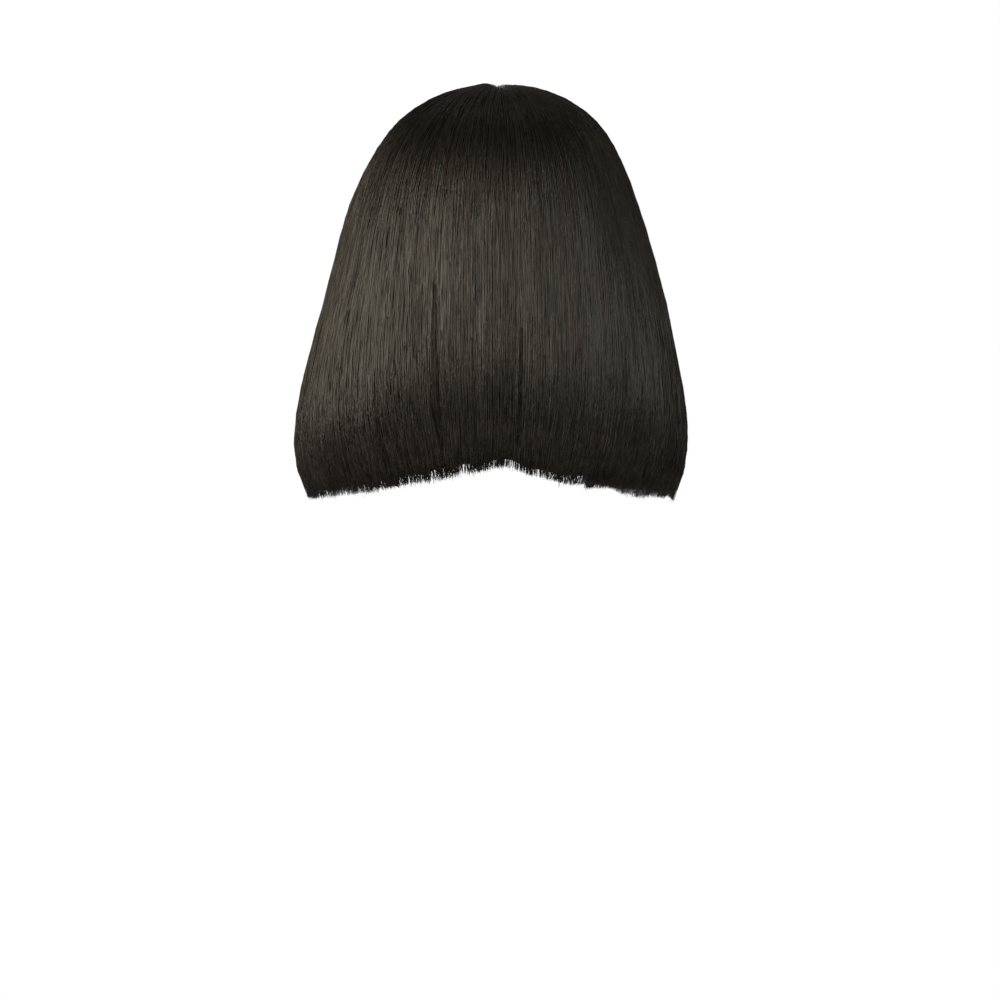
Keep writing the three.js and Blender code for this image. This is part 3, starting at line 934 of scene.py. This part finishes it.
def under_layer(form, locks, sink, root_depth, material, node):
    """Dense hair under the strands: a closed shell from a grid, extruded to the inside of the hair."""
    shell = bmesh.new()
    bmesh.ops.create_grid(shell, x_segments=len(locks) - 1, y_segments=UNDER_ROWS, size=0.5, calc_uvs=False)
    share = np.array([[vertex.co.x + 0.5, vertex.co.y + 0.5] for vertex in shell.verts])
    index = {grid_key(vertex): i for i, vertex in enumerate(shell.verts)}
    made = bmesh.ops.extrude_face_region(shell, geom=shell.faces[:])
    inside = {item for item in made["geom"] if isinstance(item, bmesh.types.BMVert)}
    flat = shell.loops.layers.uv.new(MAP_NAME)
    for face in shell.faces:
        half = 0.5 if all(corner.vert in inside for corner in face.loops) else 0.0
        for corner in face.loops:
            at = share[index[grid_key(corner.vert)]]
            corner[flat].uv = (0.004 + half + at[0] * 0.49, 0.004 + at[1] * 0.99)
    place_out, place_in = under_places(form, locks, share, sink, root_depth)
    for vertex in shell.verts:
        i = index[grid_key(vertex)]
        vertex.co = place_in[i] if vertex in inside else place_out[i]
    bmesh.ops.recalc_face_normals(shell, faces=shell.faces[:])
    name = node + "_dense"
    mesh = bpy.data.meshes.new(name)
    shell.to_mesh(mesh)
    shell.free()
    piece = finish_piece(name, mesh, material)
    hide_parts(node)
    return piece


def smooth_copy(name, node, material, levels):
    """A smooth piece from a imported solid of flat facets."""
    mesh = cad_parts[node].data.copy()
    mesh.name = name
    mesh.materials.clear()
    shell = bmesh.new()
    shell.from_mesh(mesh)
    bmesh.ops.remove_doubles(shell, verts=shell.verts[:], dist=1e-6)
    bmesh.ops.join_triangles(
        shell, faces=shell.faces[:], angle_face_threshold=0.6, angle_shape_threshold=1.2,
    )
    crease = shell.edges.layers.float.new("crease_edge")
    for edge in shell.edges:
        if len(edge.link_faces) == 2 and edge.calc_face_angle(0) > 0.9:
            edge[crease] = 0.7
    shell.to_mesh(mesh)
    shell.free()
    piece = finish_piece(name, mesh, material)
    modifier = piece.modifiers.new("smooth", "SUBSURF")
    modifier.levels = levels
    modifier.render_levels = levels
    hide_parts(node)
    return piece


# Plans of the strands


def side_plan(form, sizes, count, right, seed):
    """Outer strands of one side. They rise out of the parting."""
    chance = np.random.default_rng(seed)
    reach = form.girth_at[form.side_locks - 1] + 4 * MM
    girth = chance.uniform(0.2 * MM, reach, count)
    if not right:
        girth = form.girth - girth
    depth = chance.uniform(0, 1, count) * sizes.outer_depth / FALL_DEPTH
    end = tip_ends(form, sizes, girth, chance)
    width = sizes.strand_width * chance.uniform(0.65, 1.25, count)
    return StrandPlan(girth, depth, np.zeros(count), end, 0.9 - depth, width)


def tip_ends(form, sizes, girth, chance):
    """How far down each strand reaches: more strands end a little short than hang out below."""
    ragged = chance.normal(0, 1, len(girth)) * sizes.ragged / FALL_LENGTH
    left = girth_bump(girth, form.girth_of_back(35 * MM), 36 * MM)
    right = girth_bump(girth, form.girth_of_back(-60 * MM), 20 * MM)
    longer = LONGER_TIPS / FALL_LENGTH * (left + 0.4 * right) - front_corner(form, girth)
    return np.clip(0.997 + longer + np.where(ragged > 0, ragged * 0.6, ragged), 0.9, 1.03)


def back_plan(form, sizes, count, seed, low, high):
    """Strands of the back. They start at the crown point or, lower down, from under the others."""
    chance = np.random.default_rng(seed)
    first = form.girth_at[form.side_locks - 1] - 2 * MM
    last = form.girth_at[form.side_locks + form.back_locks] + 2 * MM
    girth = first + (np.arange(count) + chance.uniform(0, 1, count)) / count * (last - first)
    depth = chance.uniform(low, high, count) * sizes.outer_depth / FALL_DEPTH
    start = np.maximum(0, chance.uniform(-0.03, 0.2, count))
    end = tip_ends(form, sizes, girth, chance)
    tuck = np.where(start > 0.004, 0.2, 0.0)
    width = sizes.strand_width * chance.uniform(0.65, 1.25, count)
    return StrandPlan(girth, depth, start, end, 0.9 - depth, width, tuck=tuck)


def weft_plan(form, sizes, chance):
    """Strands of the under-wefts, most of them near the inside."""
    count = sizes.inner_strands
    girth = chance.uniform(0.5 * MM, form.girth - 0.5 * MM, count)
    depth = 1 - 0.5 * chance.uniform(0, 1, count) ** 2.2
    end = np.clip(1.0 + chance.normal(0, 1, count) * sizes.ragged / WEFT_LENGTH, 0.88, 1.05)
    width = sizes.strand_width * chance.uniform(0.8, 1.4, count)
    return StrandPlan(girth, depth, np.full(count, 0.004), end, np.zeros(count), width)


def hem_plan(form, sizes, chance):
    """Short strands through the whole thickness of the hem. Every ninth is a fine, lighter wisp outside."""
    count = sizes.hem_strands
    girth = chance.uniform(0.5 * MM, form.girth - 0.5 * MM, count)
    depth = chance.uniform(0.12, 1, count)
    start = chance.uniform(0.66, 0.8, count)
    end = tip_ends(form, sizes, girth, chance)
    width = sizes.strand_width * chance.uniform(0.8, 1.4, count)
    is_wisp = np.arange(count) % 9 == 0
    depth[is_wisp] = 0.0
    width[is_wisp] *= 0.6
    tone = np.where(is_wisp, 0.3, 0.0)
    aside = np.zeros(count)
    aside[is_wisp] = chance.normal(2.5 * MM, 4 * MM, is_wisp.sum())
    return StrandPlan(girth, depth, start, end, np.zeros(count), width, tone, aside=aside)


def edge_plan(form, sizes, chance):
    """Strands of both front edges: half of them fill the edge, and half line the inside behind it."""
    place = np.arange(EDGE_STRANDS)
    is_edge = place % 2 == 0
    edge = np.abs(chance.normal(0, 1, EDGE_STRANDS)) * 3.2 * MM + 0.2 * MM
    inner = chance.uniform(0, 55 * MM, EDGE_STRANDS)
    girth = np.where(is_edge, edge, inner)
    girth = np.where(place % 4 < 2, girth, form.girth - girth)
    edge_depth = chance.uniform(0.0, 1.0, EDGE_STRANDS)
    inner_depth = chance.uniform(0.88, 1.0, EDGE_STRANDS)
    depth = np.where(is_edge, edge_depth, inner_depth)
    end = tip_ends(form, sizes, girth, chance)
    width = sizes.strand_width * chance.uniform(0.7, 1.3, EDGE_STRANDS)
    rise = np.where(is_edge, np.maximum(0, 0.9 - depth), 0)
    return StrandPlan(girth, depth, np.where(is_edge, 0.0, 0.12), end, rise, width)


def painted_cleft_shade_plan(form, sizes, chance):
    """Darker strands of painted shade, which lie close together over the clefts that show best."""
    girths, starts = [], []
    for cleft in CLEFTS[:PAINTED_SHADE_CLEFTS]:
        own = int(cleft["opens"] / CLEFT_PER_SHADE_STRAND)
        spread = chance.normal(0, 1, own) * cleft["opens"] * 1.25
        girths.append(form.girth_of_back(cleft["aside"]) + spread)
        starts.append(cleft["begins"] + chance.uniform(0.0, 0.25, own))
    girth = np.concatenate(girths)
    count = len(girth)
    depth = chance.uniform(-0.65, 0.15, count) * MM / FALL_DEPTH
    end = chance.uniform(0.84, 0.95, count)
    width = sizes.strand_width * chance.uniform(0.7, 1.2, count)
    # Their lower tone is painted shade in the cleft.
    return StrandPlan(
        girth, depth, np.concatenate(starts), end, np.zeros(count), width, tone=-0.25, drift=0.2, tuck=0.1,
    )


# Operators


class WigOperator:
    bl_options = {"REGISTER", "UNDO"}


# Where each light stands, in degrees to the wearer's left of the camera and above the hair, and its size.
LAMPS = {
    "key": {"aside": 42, "up": 11, "distance": 2.6, "size": (3.2, 1.9), "tint": (1.0, 0.965, 0.875)},
    "fill": {"aside": -62, "up": 8, "distance": 2.4, "size": (1.2, 0.8), "tint": (0.96, 1.0, 0.97)},
    "front": {"aside": 172, "up": 12, "distance": 2.4, "size": (1.6, 1.0), "tint": (0.97, 0.98, 1.0)},
    "top": {"aside": 0, "up": 98, "distance": 2.0, "size": (0.8, 0.6), "tint": (1.0, 0.9, 0.76)},
}
LIT_PLACE = Vector((0, 0, -0.15))
HAIR_MIDDLE = 11.5 * MM  # the middle of the hair lies this far back, where the picture's width is measured
SENSOR = 36


class WIG_OT_stage(WigOperator, bpy.types.Operator):
    """Adds the camera behind the wig, a pale floor and soft light"""

    bl_idname = "wig.stage"
    bl_label = "Stage"

    def execute(self, context):
        stage = context.scene.wig_stage
        scene = context.scene
        self.camera(scene, stage)
        self.floor(scene, stage)
        powers = {
            "key": stage.key_power,
            "fill": stage.fill_power,
            "front": stage.front_power,
            "top": stage.top_power,
        }
        for name, power in powers.items():
            self.light(scene, name, power, **LAMPS[name])
        self.air(scene, stage.air_light)
        scene.view_settings.view_transform = "Standard"
        return {"FINISHED"}

    def camera(self, scene, stage):
        """A level camera straight behind the wig."""
        lens = bpy.data.cameras.new("camera")
        lens.lens = stage.lens
        lens.sensor_width = SENSOR
        lens.clip_start = 0.05
        lens.clip_end = 50
        camera = bpy.data.objects.new("camera", lens)
        away = stage.view_width * stage.lens / SENSOR
        camera.location = Vector((stage.view_aside, HAIR_MIDDLE, stage.view_height)) + Vector((0, away, 0))
        camera.rotation_euler = (math.pi / 2, 0, math.pi)
        scene.collection.objects.link(camera)
        scene.camera = camera

    def floor(self, scene, stage):
        disc = bmesh.new()
        bmesh.ops.create_circle(disc, cap_ends=True, segments=96, radius=1.2)
        bmesh.ops.translate(disc, verts=disc.verts[:], vec=(0, 0, stage.floor_height))
        mesh = bpy.data.meshes.new("floor")
        disc.to_mesh(mesh)
        disc.free()
        mesh.materials.append(plain_floor())
        floor = bpy.data.objects.new("floor", mesh)
        scene.collection.objects.link(floor)

    def light(self, scene, name, power, aside, up, distance, size, tint):
        """A soft light, turned towards the hair."""
        lamp = bpy.data.lights.new(name, "AREA")
        lamp.shape = "RECTANGLE"
        lamp.size, lamp.size_y = size
        lamp.energy = power
        lamp.color = tint
        aside, up = math.radians(aside), math.radians(up)
        way = Vector((math.sin(aside) * math.cos(up), math.cos(aside) * math.cos(up), math.sin(up)))
        holder = bpy.data.objects.new(name, lamp)
        holder.location = LIT_PLACE + way * distance
        holder.rotation_euler = way.to_track_quat("Z", "Y").to_euler()
        scene.collection.objects.link(holder)

    def air(self, scene, strength):
        """White all round in the picture, and a dimmer light from it on the hair."""
        world = bpy.data.worlds.new("air")
        world.use_nodes = True
        tree = world.node_tree
        tree.nodes.clear()
        seen = tree.nodes.new("ShaderNodeBackground")
        seen.inputs["Color"].default_value = (1, 1, 1, 1)
        seen.inputs["Strength"].default_value = 1.0
        cast = tree.nodes.new("ShaderNodeBackground")
        cast.inputs["Color"].default_value = (0.95, 0.98, 1.0, 1)
        cast.inputs["Strength"].default_value = strength
        path = tree.nodes.new("ShaderNodeLightPath")
        mix = tree.nodes.new("ShaderNodeMixShader")
        out = tree.nodes.new("ShaderNodeOutputWorld")
        tree.links.new(path.outputs["Is Camera Ray"], mix.inputs["Fac"])
        tree.links.new(cast.outputs["Background"], mix.inputs[1])
        tree.links.new(seen.outputs["Background"], mix.inputs[2])
        tree.links.new(mix.outputs["Shader"], out.inputs["Surface"])
        scene.world = world


class WIG_OT_under_layers(WigOperator, bpy.types.Operator):
    """Makes the dense hair that fills the falls and the under-wefts"""

    bl_idname = "wig.under_layers"
    bl_label = "Dense hair"

    def execute(self, context):
        sizes, colours = context.scene.wig_sizes, context.scene.wig_colours
        fall = ("side_fall_right", "back_fall", "side_fall_left")
        # Painted shade: the dense hair is a darker copy of the hair colours, as it lies below the strands.
        outer = dense_hair("dense_hair", colours, 0.8, 260, 0.55, 0.25)
        self.lay(fall_form(), fall, sizes.under_sink, UNDER_ROOT, outer, "hair")
        weft = ("under_weft_right", "under_weft_back", "under_weft_left")
        # Painted shade: a still darker copy for the dense hair of the under-wefts, inside the wig.
        inner = dense_hair("painted_shade_dense_weft_hair", colours, 0.45, 200, 0.8, 0.06)
        self.lay(weft_form(), weft, WEFT_SINK, 0.0, inner, "weft_hair")
        return {"FINISHED"}

    def lay(self, form, names, sink, root_depth, material, slot):
        first = 0
        for name, count in zip(names, (form.side_locks, form.back_locks, form.side_locks)):
            under_layer(form, np.arange(first, first + count), sink, root_depth, material, name)
            first += count


class WIG_OT_back_strands(WigOperator, bpy.types.Operator):
    """Lays the strands of the back in two layers"""

    bl_idname = "wig.back_strands"
    bl_label = "Back strands"

    def execute(self, context):
        sizes, colours = context.scene.wig_sizes, context.scene.wig_colours
        form = fall_form()
        material = strand_hair("strand_hair", colours, 1.0, 0.33, 0.38)
        layers = (("back_strands_upper", 21, 0.0, 0.6), ("back_strands_lower", 22, 0.2, 1.0))
        for name, seed, low, high in layers:
            plan = back_plan(form, sizes, sizes.back_strands, seed, low, high)
            piece = strand_piece(name, Strands(form, plan, 20, sizes, seed), material, seed)
        return {"FINISHED"}


class WIG_OT_side_strands(WigOperator, bpy.types.Operator):
    """Lays the strands of both sides, from the parting to the hem"""

    bl_idname = "wig.side_strands"
    bl_label = "Side strands"

    def execute(self, context):
        sizes = context.scene.wig_sizes
        form = fall_form()
        material = bpy.data.materials["strand_hair"]
        for name, right, seed in (("side_strands_right", True, 31), ("side_strands_left", False, 32)):
            plan = side_plan(form, sizes, sizes.side_strands, right, seed)
            piece = strand_piece(name, Strands(form, plan, 20, sizes, seed), material, seed)
        return {"FINISHED"}


class WIG_OT_inner_strands(WigOperator, bpy.types.Operator):
    """Lays under-weft, hem and front edge strands, and strands of painted shade over the clefts"""

    bl_idname = "wig.inner_strands"
    bl_label = "Inner strands"

    def execute(self, context):
        sizes, colours = context.scene.wig_sizes, context.scene.wig_colours
        weft, fall = weft_form(), fall_form()
        outer_hair = bpy.data.materials["strand_hair"]
        # Painted shade: a darker copy of the strand hair for the under-wefts, inside the wig.
        weft_hair = strand_hair("painted_shade_strand_weft_hair", colours, 0.8, 0.42, 0.3)
        # A darker copy of the strand hair with less sheen: painted shade in the clefts.
        painted_shade_hair = strand_hair("painted_shade_strand_hair", colours, 0.74, 0.45, 0.16)
        chance = np.random.default_rng(41)
        strands = Strands(weft, weft_plan(weft, sizes, chance), 11, sizes, 41)
        strand_piece("weft_strands", strands, weft_hair, 41)
        strands = Strands(fall, hem_plan(fall, sizes, chance), 8, sizes, 42)
        strand_piece("hem_strands", strands, outer_hair, 42)
        strands = Strands(fall, edge_plan(fall, sizes, chance), 14, sizes, 43)
        strand_piece("edge_strands", strands, outer_hair, 43)
        strands = Strands(fall, painted_cleft_shade_plan(fall, sizes, chance), 12, sizes, 44)
        strand_piece("painted_cleft_shade_strands", strands, painted_shade_hair, 44)
        return {"FINISHED"}


class WIG_OT_cap(WigOperator, bpy.types.Operator):
    """Makes the net cap and the strip under the parting"""

    bl_idname = "wig.cap"
    bl_label = "Cap and parting"

    def execute(self, context):
        colours = context.scene.wig_colours
        cap = smooth_copy("net_cap", "wig_cap", net_cloth(colours), 1)
        strip = smooth_copy("parting_base", "parting_strip", parting_silk(colours), 2)
        return {"FINISHED"}


class WIG_PT_panel(bpy.types.Panel):
    """Shows the steps that make the pieces, and the sizes, the colours and the stage"""

    bl_idname = "WIG_PT_panel"
    bl_label = "Bob wig"
    bl_space_type = "VIEW_3D"
    bl_region_type = "UI"
    bl_category = "Bob wig"

    def draw(self, context):
        scene = context.scene
        for step in STEPS:
            self.layout.operator(step.bl_idname)
        for group in (scene.wig_sizes, scene.wig_colours, scene.wig_stage):
            box = self.layout.box()
            for name in group.__annotations__:
                box.prop(group, name)


STEPS = (
    WIG_OT_stage, WIG_OT_under_layers, WIG_OT_back_strands, WIG_OT_side_strands, WIG_OT_inner_strands,
    WIG_OT_cap,
)
CLASSES = (WigSizes, WigColours, WigStage, *STEPS, WIG_PT_panel)


def register():
    for kind in CLASSES:
        bpy.utils.register_class(kind)
    bpy.types.Scene.wig_sizes = PointerProperty(type=WigSizes)
    bpy.types.Scene.wig_colours = PointerProperty(type=WigColours)
    bpy.types.Scene.wig_stage = PointerProperty(type=WigStage)


def unregister():
    del bpy.types.Scene.wig_stage
    del bpy.types.Scene.wig_colours
    del bpy.types.Scene.wig_sizes
    for kind in reversed(CLASSES):
        bpy.utils.unregister_class(kind)


def main():
    register()
    bpy.ops.wig.stage()
    bpy.ops.wig.under_layers()
    bpy.ops.wig.back_strands()
    bpy.ops.wig.side_strands()
    bpy.ops.wig.inner_strands()
    bpy.ops.wig.cap()


if __name__ == "__main__":
    main()
